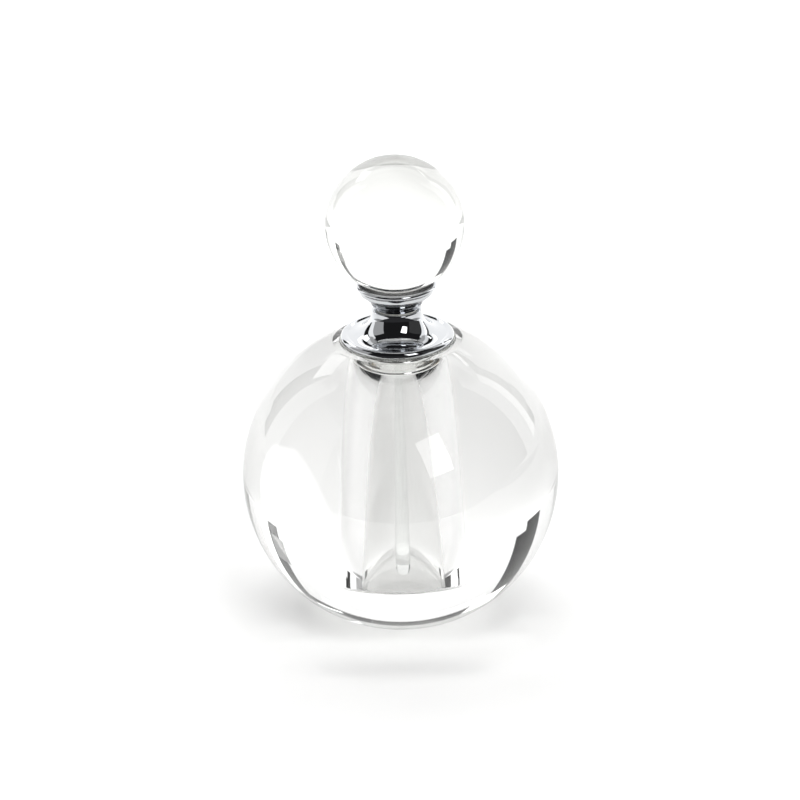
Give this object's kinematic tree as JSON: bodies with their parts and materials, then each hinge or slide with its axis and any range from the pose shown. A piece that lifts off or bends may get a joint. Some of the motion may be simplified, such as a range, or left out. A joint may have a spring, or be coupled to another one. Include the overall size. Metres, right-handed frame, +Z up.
{
  "type": "perfume bottle",
  "caption": "Round crystal perfume bottle with a drilled well, a flared chromed neck collar and a ball stopper that carries a long glass dauber.",
  "frame": {"origin": "centre of the flat polished base", "axes": "+Z up the bottle's axis, from the base through the well to the ball stopper"},
  "size_m": [0.08, 0.08, 0.1221],
  "materials": {
    "crystal": "polished clear crystal",
    "clear_liner": "clear moulded sleeve",
    "clear_gasket": "clear soft ring",
    "chromed_metal": "bright plated",
    "soft_washer": "soft, off-white",
    "clear_cement": "cured clear cement",
    "natural_plastic": "natural milky moulding",
    "rod_glass": "fire-polished clear glass"
  },
  "bodies": {
    "bottle": {"bottle_body": "crystal", "neck_liner": "clear_liner", "collar_gasket": "clear_gasket", "neck_collar": "chromed_metal"},
    "washer": {"seal_washer": "soft_washer"},
    "stopper": {"stopper_cup": "chromed_metal", "finial_bond": "clear_cement", "ball_finial": "crystal", "stopper_plug": "natural_plastic", "dauber_rod": "rod_glass"}
  },
  "joints": [
    {"name": "stopper_lift", "type": "slide", "parent": "bottle", "child": "washer", "axis": [0, 0, 1], "range_m": [0, 0.07]},
    {"name": "stopper_twist", "type": "hinge", "parent": "washer", "child": "stopper", "pos_m": [0, 0, 0.0825], "axis": [0, 0, 1], "continuous": true}
  ]
}
